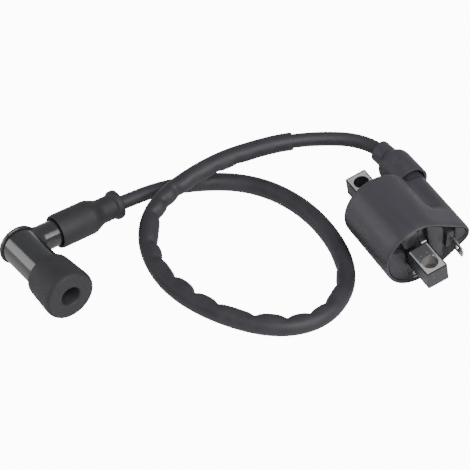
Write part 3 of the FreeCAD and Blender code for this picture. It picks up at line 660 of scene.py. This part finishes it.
# The base is dark grey phenolic, matt where it was sawn, with cut corners.
dark_phenolic = plain_finish("dark_phenolic", "252527", "333335", 0.6, 0.0, 0.5, 0.03)
CUT_CORNERS = (
    (-1, -0.9), (-0.8, -1), (0.8, -1), (1, -0.9), (1, 0.9), (0.8, 1), (-0.8, 1), (-1, 0.9),
)
base_rings = []
for x, inset in ((12.0, 0.0), (18.2, 0.0), (18.5, 0.12), (18.6, 0.35)):
    half_y, half_z = BASE_HALF_Y - inset, BASE_HALF_Z - inset
    base_rings.append([(x, BLADE_Y + a * half_y, BLADE_Z + b * half_z) for a, b in CUT_CORNERS])
base = skin("terminal_block", base_rings, dark_phenolic)
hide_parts("terminal_base")
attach(base, "coil")


# ---------------------------------------------------------------- high-tension lead
# Seven millimetres of black rubber over a stranded core, pushed onto the spike in the tower and
# screwed into the cap. It springs out in one turn and lies on the bench: over the crossing it
# rides high, and the loop rests on its sleeve.

LEAD_R = 3.5
CAP_AT = Vector((-77.6, -161.2, 10.45))
PLUG_WAY = Vector((0.987139, 0.151054, 0.052336))
LEAD_WAY = Vector((-0.148346, 0.987554, -0.052264))
UP_WAY = PLUG_WAY.cross(LEAD_WAY)
ROUTE = [
    (-18.0, 16.3, 19.1), (-36.0, 16.3, 19.1), (-50.0, 15.2, 19.1), (-60.5, 8.2, 18.9),
    (-67.0, -1.6, 18.7), (-73.2, -14.4, 18.5), (-77.6, -31.0, 18.4), (-79.4, -61.1, 18.2),
    (-75.8, -94.1, 9.5), (-54.8, -109.3, 4.5), (-19.8, -109.2, 4.5), (16.6, -84.9, 4.5),
    (25.2, -56.6, 4.5), (5.6, -30.7, 4.5), (-36.1, -25.9, 4.5), (-70.8, -40.8, 4.5),
    (-88.1, -74.7, 4.6), tuple(CAP_AT + LEAD_WAY * 56.0), tuple(CAP_AT + LEAD_WAY * 20.0),
]

# Extruded rubber with talc left in its skin: dark grey, patchy, low sheen, with a fine grain.
lead_rubber, tree = start_material("lead_rubber")
place = object_place(tree)
talc = noise(tree, place, 260.0, 6.0, Roughness=0.7)
surface_output(tree, noise(tree, place, 2600.0, 2.0), 0.04, {
    "Base Color": ramp(tree, talc, [(0.3, "201f24"), (0.6, "29282e"), (0.8, "333238")]),
    "IOR": 1.5, "Roughness": ramp(tree, talc, [(0.3, 0.5), (0.7, 0.62)]),
})

curve = bpy.data.curves.new("lead", "CURVE")
curve.dimensions = "3D"
curve.resolution_u = 24
spline = curve.splines.new("NURBS")
spline.points.add(len(ROUTE) - 1)
for point, place in zip(spline.points, ROUTE):
    point.co = [c * MM for c in place] + [1.0]
spline.order_u = 3
spline.use_endpoint_u = True
lead = bpy.data.objects.new("lead", curve)
bpy.context.collection.objects.link(lead)
line = bpy.data.meshes.new_from_object(lead.evaluated_get(bpy.context.evaluated_depsgraph_get()))
centre_line = np.array([tuple(v.co) for v in line.vertices]) / MM
bpy.data.meshes.remove(line)
curve.bevel_depth = LEAD_R * MM
curve.bevel_resolution = 8
curve.use_fill_caps = True
curve.materials.append(lead_rubber)
run = np.r_[0.0, np.cumsum(np.linalg.norm(np.diff(centre_line, axis=0), axis=1))]
LEAD_LENGTH = float(run[-1])


def lead_frame(distance):
    """Centre, direction, left and up of the lead at a distance from its tower end."""
    step = 0.6
    before, middle, after = (
        Vector([np.interp(distance + d, run, centre_line[:, axis]) for axis in range(3)])
        for d in (-step, 0.0, step)
    )
    forward = (after - before).normalized()
    left = Vector((0, 0, 1)).cross(forward).normalized()
    return middle, forward, left, forward.cross(left)


def along_lead(profile, count=ROUND):
    """Rings round the lead for an outline of (distance, radius) points."""
    rings = []
    for distance, radius in profile:
        middle, _, left, up = lead_frame(distance)
        rings.append([
            tuple(middle + left * (radius * math.cos(a)) + up * (radius * math.sin(a)))
            for a in (2 * math.pi * i / count for i in range(count))
        ])
    return rings


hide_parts("ht_lead")
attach(lead, "coil")


# ---------------------------------------------------------------- sleeve on the lead
# Soft PVC tube pushed over the loop of the lead and cut square. It is looser than the lead, so
# it has buckled into scallops on the inside of each bend and stays smooth on the outside.

BARE_AT_CAP = 70.0
SLEEVE_START = 74.5
SLEEVE_END = LEAD_LENGTH - BARE_AT_CAP
SLEEVE_R = 4.45
SLEEVE_IN = 3.75
SLEEVE_ROUND = 40
SLEEVE_STEPS = 470
LEAD_GAP = 0.12
THINNEST = 0.08
CREASE_WIDTH = 1.9
CREASE_TURN = 0.25          # radians that the creases are turned from the inside of the bend
# Distance of each crease along the lead, its depth, and the swell after it.
CREASES = [
    (92.0, 0.1, 0.15), (104.0, 0.35, 0.3), (115.5, 0.5, 0.35), (128.0, 0.5, 0.3), (139.0, 1.1, 0.4),
    (147.5, 0.8, 0.4), (156.4, 1.2, 1.2), (174.7, 0.8, 0.9), (185.5, 0.9, 0.5), (200.3, 0.9, 1.6),
    (214.9, 1.3, 0.9), (228.3, 0.8, 0.6), (247.0, 0.9, 1.5), (262.8, 0.9, 0.7), (274.8, 1.0, 0.3),
    (286.0, 0.8, 0.4), (301.4, 0.9, 0.2), (313.6, 0.5, 0.1), (330.0, 0.0, 0.0),
]

# Plasticised PVC: near black and slightly cloudy, with a low sheen.
sleeve_pvc, tree = start_material("soft_pvc_sleeve")
place = object_place(tree)
cloud = noise(tree, place, 120.0, 5.0)
surface_output(tree, noise(tree, place, 1500.0, 3.0), 0.04, {
    "Base Color": ramp(tree, cloud, [(0.3, "252429"), (0.7, "2f2e34")]), "IOR": 1.42,
    "Roughness": ramp(tree, cloud, [(0.3, 0.48), (0.7, 0.62)]),
})


def bend_at(distance):
    """The way to the inside of the lead's bend, longer where the bend is tighter."""
    reach = 5.0
    return lead_frame(distance + reach)[1] - lead_frame(distance - reach)[1]


outer_rings = []
inner_rings = []
for distance in np.linspace(SLEEVE_START, SLEEVE_END, SLEEVE_STEPS + 1):
    middle, forward, left, up = lead_frame(distance)
    inward = bend_at(distance)
    inward = inward - forward * inward.dot(forward)
    side = math.atan2(inward.dot(up), inward.dot(left)) + CREASE_TURN
    pinch = 0.0
    swell = 0.0
    for (start, depth, height), (end, _, _) in zip(CREASES, CREASES[1:]):
        pinch = max(pinch, depth * math.exp(-abs((distance - start) / CREASE_WIDTH) ** 1.6))
        if start <= distance < end:
            swell = height * math.sin(math.pi * (distance - start) / (end - start)) ** 0.8
    outer = []
    inner = []
    for index in range(SLEEVE_ROUND):
        angle = 2 * math.pi * index / SLEEVE_ROUND
        facing = max(math.cos(angle - side), 0.0)
        radius = SLEEVE_R + swell * facing ** 1.3 - pinch * facing ** 1.5
        radius = max(radius, LEAD_R + LEAD_GAP)
        way = left * math.cos(angle) + up * math.sin(angle)
        outer.append(tuple(middle + way * radius))
        inner.append(tuple(middle + way * min(SLEEVE_IN, radius - THINNEST)))
    outer_rings.append(outer)
    inner_rings.append(inner)
sleeve = skin("lead_sleeve_skin", outer_rings + inner_rings[::-1], sleeve_pvc, closed=True)
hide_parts("lead_sleeve")
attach(sleeve, "coil")


# ---------------------------------------------------------------- tower boot
# Stepped rubber boot pulled over the tower's barb. Its mouth stands open a little, its shoulder
# is rounded, and its neck bends with the lead.

def moulded_rubber(name, colours, sheen):
    """Dull rubber with a faint bloom and a fine pebble from the mould."""
    material, tree = start_material(name)
    place = object_place(tree)
    bloom = noise(tree, place, 180.0, 6.0, Roughness=0.65)
    surface_output(tree, noise(tree, place, 2000.0, 3.0), 0.06, {
        "Base Color": ramp(tree, bloom, list(zip((0.3, 0.6, 0.8), colours))), "IOR": 1.5,
        "Roughness": ramp(tree, bloom, [(0.3, sheen), (0.7, sheen + 0.14)]),
    })
    return material


chloroprene = moulded_rubber("moulded_chloroprene", ("2a292f", "323138", "3a3940"), 0.5)


def eased(points, cut, steps=5):
    """An outline of (along, radius) points with each corner between its ends cut round."""
    out = [points[0]]
    for before, corner, after, size in zip(points, points[1:], points[2:], cut):
        a, b, c = (np.array(p, float) for p in (before, corner, after))
        one = b + (a - b) / np.linalg.norm(a - b) * size
        two = b + (c - b) / np.linalg.norm(c - b) * size
        for step in range(steps + 1):
            t = step / steps
            out.append(tuple(one * (1 - t) ** 2 + b * 2 * t * (1 - t) + two * t ** 2))
    out.append(points[-1])
    return out


boot_outside = eased([
    (2.6, 7.6), (2.2, 8.9), (19.3, 8.6), (21.7, 5.7), (30.0, 5.5), (30.0, 4.0), (29.0, 3.6),
], [0.5, 2.6, 0.9, 0.9, 0.5])
boot_inside = [(16.2, 3.6), (16.0, 6.4), (5.5, 6.4), (3.6, 7.3), (2.9, 7.5)]
boot = skin("tower_boot_skin", along_lead(boot_outside + boot_inside), chloroprene, closed=True)
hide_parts("tower_boot")
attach(boot, "coil")


# ---------------------------------------------------------------- cap
# Elbow of black phenolic: a wide arm for the resistor and the plug's nut, a narrow arm that the
# lead is screwed into, and a round cover cemented over the back. Moulded to a high polish.

ELBOW_R = 9.1
ARM_R = 6.5
COVER_R = 10.2
COVER_FROM = -2.0           # the cover's edge against the wide arm
ARM_SUNK = 0.15             # the narrow arm's foot is sunk this far into the round of the elbow
ARM_FOOT_RINGS = 4
WIDE_ROUND = 128
ARM_ROUND = 96

# Compression-moulded phenolic: jet black, glassy, with a slow ripple and hairline scratches.
phenolic, tree = start_material("polished_black_phenolic")
place = object_place(tree)
hairs = noise(tree, stretched(tree, place, (300, 2400, 900)), 1.0, 5.0)
surface_output(tree, noise(tree, place, 140.0, 2.0), 0.02, {
    "Base Color": ramp(tree, hairs, [(0.3, "1d1d1f"), (0.75, "27272a")]), "IOR": 1.63,
    "Roughness": ramp(tree, hairs, [(0.3, 0.10), (0.75, 0.2)]),
})


def in_cap(rings):
    """Rings given along the plug arm, the lead arm and up, brought to where the cap lies."""
    return [[tuple(CAP_AT + PLUG_WAY * x + LEAD_WAY * y + UP_WAY * z) for x, y, z in ring]
            for ring in rings]


def spun_on_lead(profile, count=ROUND):
    """Rings about the cap's lead arm for an outline of (along, radius) points."""
    return [[(y, x, z) for x, y, z in ring] for ring in spun(profile, count)]


wide_arm = skin("elbow_plug_arm", in_cap(spun([
    (-1.9, 5.7), (-1.9, 8.9), (-1.7, ELBOW_R), (29.7, ELBOW_R), (30.0, 8.8), (30.0, 6.8),
    (27.0, 6.6), (27.0, 4.6), (20.5, 4.5), (20.5, 5.6),
], WIDE_ROUND)), phenolic, closed=True)
arm_rings = spun_on_lead([
    (0.0, 4.0), (0.0, 6.9), (0.5, 6.66), (1.2, 6.52), (10.4, ARM_R), (34.6, ARM_R), (35.0, 6.1),
    (35.0, 3.8), (34.4, 3.6), (19.0, 3.6), (19.0, 4.5), (10.4, 4.5), (10.4, 4.0),
], ARM_ROUND)
for ring in arm_rings[:ARM_FOOT_RINGS]:
    for index, (x, y, z) in enumerate(ring):
        seat = ELBOW_R - ARM_SUNK if x > COVER_FROM else COVER_R + ARM_SUNK
        ring[index] = (x, y + math.sqrt(seat ** 2 - z ** 2), z)
lead_arm = skin("elbow_lead_arm", in_cap(arm_rings), phenolic, closed=True)
cover = skin("elbow_cover", in_cap(spun([
    (-4.6, 0.6), (-4.6, 8.2), (-4.45, 9.1), (-4.0, 9.75), (-3.5, 9.95), (-3.3, 9.9),
    (-3.2, 10.05), (-2.8, COVER_R), (-2.4, 10.15), (-2.1, 9.8), (COVER_FROM, 9.0),
    (COVER_FROM, 5.5), (-1.6, 5.5), (-1.6, 0.6),
], WIDE_ROUND)), phenolic)
for piece, part in ((wide_arm, "cap_body"), (lead_arm, "cap_lead_arm"), (cover, "cap_cover")):
    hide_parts(part)
    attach(piece, "cap")

# The cap's own boots are a blacker, harder rubber than the tower's.
hard_rubber = moulded_rubber("hard_black_rubber", ("1d1c20", "232227", "2c2b31"), 0.58)

# Rubber boot over the lead arm: wide sleeve, taper, neck and a rolled bead at its end.
cable_outline = eased([
    (18.9, 6.85), (18.3, 8.1), (20.0, 8.45), (37.8, 8.4), (42.8, 6.15), (50.0, 6.05), (51.1, 7.3),
    (53.9, 7.3), (54.4, 5.8), (54.2, 4.6), (53.0, 3.8),
], [0.4, 0.7, 1.5, 1.4, 0.6, 1.0, 0.9, 0.5, 0.4])
cable_boot = skin("cable_boot_skin", in_cap(spun_on_lead(
    cable_outline + [(40.0, 3.6), (35.2, 3.6), (35.2, 6.55), (21.5, 6.55), (20.0, 6.75)],
    ARM_ROUND,
)), hard_rubber, closed=True)

# Conical rubber boot that seals on the plug, with rounded rims.
plug_outline = eased([
    (22.9, 9.2), (22.2, 10.8), (23.5, 11.4), (40.0, 12.7), (41.8, 11.8), (41.8, 5.2), (40.8, 4.6),
], [0.7, 1.0, 1.5, 1.4, 0.5])
plug_boot = skin("plug_boot_skin", in_cap(spun(
    plug_outline + [(30.2, 4.6), (30.2, 9.15)], WIDE_ROUND,
)), hard_rubber, closed=True)
for piece, part in ((cable_boot, "cap_cable_boot"), (plug_boot, "cap_plug_boot")):
    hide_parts(part)
    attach(piece, "cap")

on_lead = [sleeve, boot, wide_arm, lead_arm, cover, cable_boot, plug_boot]
on_lead += [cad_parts[name] for name in (
    "lead_strand", "cable_screw", "contact_plate", "barrel_spring", "resistor", "resistor_caps",
    "plug_socket", "socket_clip")]


# ---------------------------------------------------------------- bench, lights and camera
# A white bench under two soft boxes, one low to the left and one high to the right, with a pale
# surround. The camera is a long lens, 45 degrees above the bench.

BENCH_HALF = 3.0            # metres
BENCH_DROP = 0.0002
BENCH_GLOW = 12.0
SURROUND_STRENGTH = 0.55
LIGHT_DISTANCE = 1.3
bench_mesh = bpy.data.meshes.new("bench")
bench_mesh.from_pydata([
    (x * BENCH_HALF, y * BENCH_HALF, -BENCH_DROP) for x, y in ((-1, -1), (1, -1), (1, 1), (-1, 1))
], [], [(0, 1, 2, 3)])
bench = bpy.data.objects.new("bench", bench_mesh)
bpy.context.collection.objects.link(bench)
# Plain white where the camera looks straight at it, matt to everything else.
bench_white, tree = start_material("bench_white")
matt = node(tree, "ShaderNodeBsdfDiffuse", {"Color": linear("f0f0f0")})
glow = node(tree, "ShaderNodeEmission", {"Color": linear("ffffff"), "Strength": BENCH_GLOW})
direct = node(tree, "ShaderNodeLightPath").outputs["Is Camera Ray"]
both = node(tree, "ShaderNodeMixShader", {0: direct, 1: matt.outputs[0], 2: glow.outputs[0]})
node(tree, "ShaderNodeOutputMaterial", {"Surface": both.outputs[0]})
bench_mesh.materials.append(bench_white)

world = bpy.data.worlds.new("studio")
bpy.context.scene.world = world
world.use_nodes = True
surround = world.node_tree.nodes["Background"]
surround.inputs["Color"].default_value = linear("f4f5f7")
surround.inputs["Strength"].default_value = SURROUND_STRENGTH

STUDIO_CENTRE = Vector((-0.03, -0.07, 0.01))


def soft_box(name, way, width, height, power):
    """A rectangular area light that faces the middle of the object."""
    light = bpy.data.lights.new(name, "AREA")
    light.shape = "RECTANGLE"
    light.size = width
    light.size_y = height
    light.energy = power
    lamp = bpy.data.objects.new(name, light)
    bpy.context.collection.objects.link(lamp)
    way = Vector(way).normalized()
    lamp.location = STUDIO_CENTRE + way * LIGHT_DISTANCE
    lamp.rotation_euler = way.to_track_quat("Z", "Y").to_euler()


soft_box("soft_box_left", (-0.53, -0.80, 0.26), width=0.45, height=0.9, power=4.6)
soft_box("soft_box_right", (0.66, 0.14, 0.70), width=1.0, height=1.0, power=24.0)

AZIMUTH = math.radians(61.53)
ELEVATION = math.radians(45.08)
# The point aimed at is set off from the can's centre, to the right and up as the view goes.
AIM_RIGHT = -74.95
AIM_UP = -3.45
CAMERA_DISTANCE = 837.99
right = Vector((math.cos(AZIMUTH), math.sin(AZIMUTH), 0))
level = math.cos(ELEVATION)
back = Vector((math.sin(AZIMUTH) * level, -math.cos(AZIMUTH) * level, math.sin(ELEVATION)))
up = back.cross(right)
lens = bpy.data.cameras.new("camera")
lens.sensor_width = 36.0
lens.lens = 137.87
camera = bpy.data.objects.new("camera", lens)
bpy.context.collection.objects.link(camera)
aim = Vector(CAN_CENTRE) + right * AIM_RIGHT + up * AIM_UP
camera.location = (aim + back * CAMERA_DISTANCE) * MM
camera.rotation_euler = back.to_track_quat("Z", "Y").to_euler()
bpy.context.scene.camera = camera
